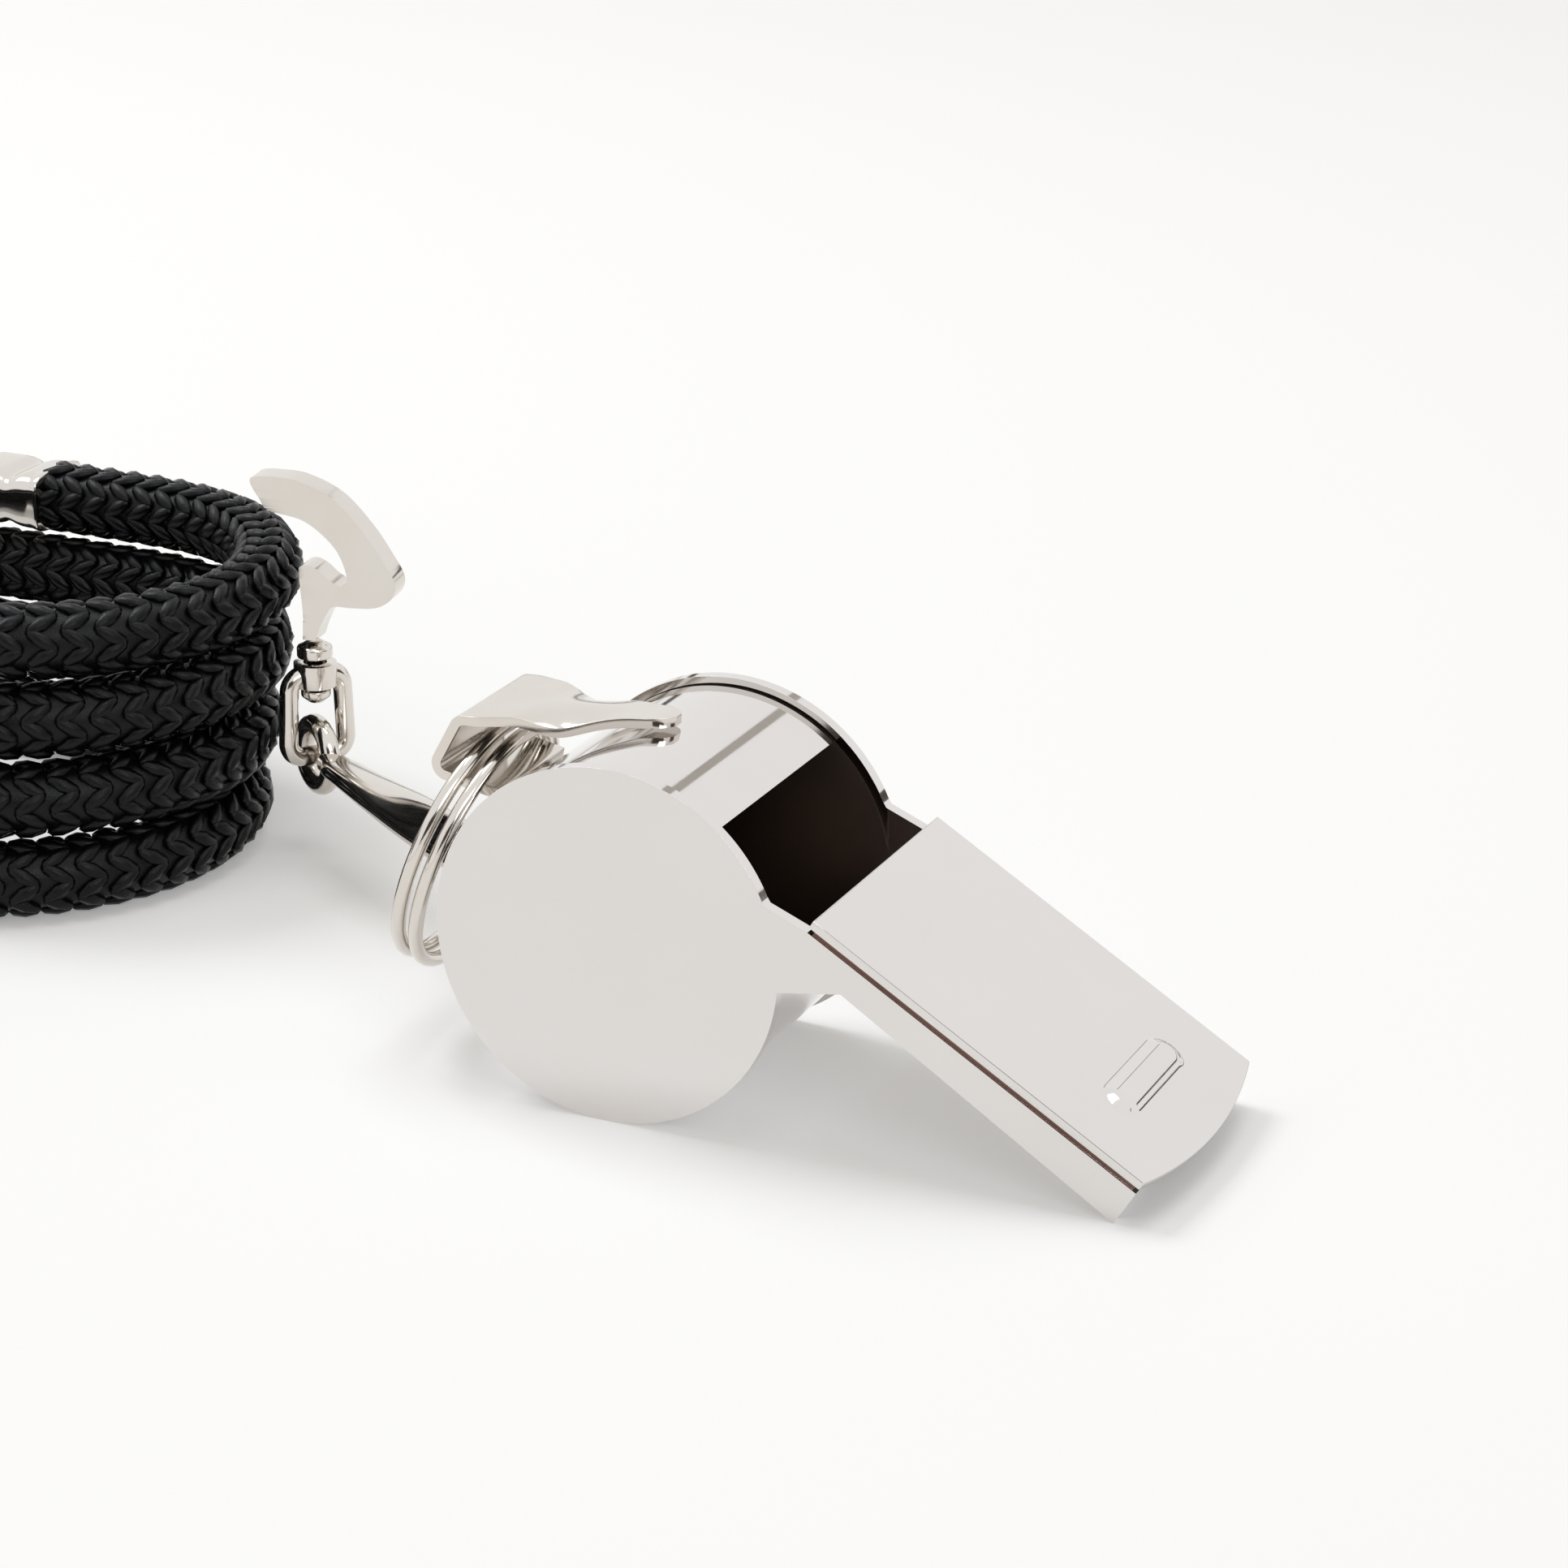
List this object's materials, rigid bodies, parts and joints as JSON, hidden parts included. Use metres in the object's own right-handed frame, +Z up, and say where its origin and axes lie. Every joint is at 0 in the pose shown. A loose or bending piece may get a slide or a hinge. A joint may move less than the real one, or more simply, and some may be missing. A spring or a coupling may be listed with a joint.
{
  "type": "pea whistle",
  "caption": "Nickel-plated pea whistle with a split ring, a flat link, a swivel hook and a coiled black braided lanyard.",
  "frame": {"origin": "on the floor, under the middle of the whistle and its hardware", "axes": "+X along the whistle from its lug to its mouthpiece, +Y along the barrel's axis away from the viewer, +Z up"},
  "size_m": [0.1536, 0.0486, 0.0259],
  "materials": {
    "nickel": "polished nickel plate",
    "hardware": "nickel-plated steel",
    "cork": "plain cork",
    "cord": "braided synthetic"
  },
  "bodies": {
    "whistle": {"side_plate_right": "nickel", "side_plate_left": "nickel", "barrel_band": "nickel", "mouthpiece_floor": "nickel", "mouthpiece_top": "nickel", "lanyard_lug": "nickel"},
    "pea": {"pea": "cork"},
    "ring": {"split_ring": "hardware"},
    "link": {"twisted_link": "hardware"},
    "eye": {"swivel_eye": "hardware"},
    "hook": {"swivel_pin": "hardware", "hook_body": "hardware", "lanyard_cord": "cord", "crimp_sleeve": "hardware"}
  },
  "joints": [
    {"name": "pea_run", "type": "hinge", "parent": "whistle", "child": "pea", "pos_m": [0.00328, -0.00757, 0.01099], "axis": [0, 1, 0], "continuous": true},
    {"name": "ring_swing", "type": "hinge", "parent": "whistle", "child": "ring", "pos_m": [-0.0072, -0.00757, 0.01977], "axis": [0, 1, 0], "range_deg": [0, 70]},
    {"name": "link_swing", "type": "hinge", "parent": "ring", "child": "link", "pos_m": [-0.01145, -0.00152, 0.00751], "axis": [0.2507, 0.6428, 0.7239], "range_deg": [-45, 45]},
    {"name": "eye_fold", "type": "hinge", "parent": "link", "child": "eye", "pos_m": [-0.03391, 0.01442, 0.0067], "axis": [-0.5788, -0.8155, 0], "range_deg": [-45, 60]},
    {"name": "swivel_turn", "type": "hinge", "parent": "eye", "child": "hook", "pos_m": [-0.03391, 0.01442, 0.0125], "axis": [0, 0, 1], "range_deg": [-40, 40]}
  ]
}
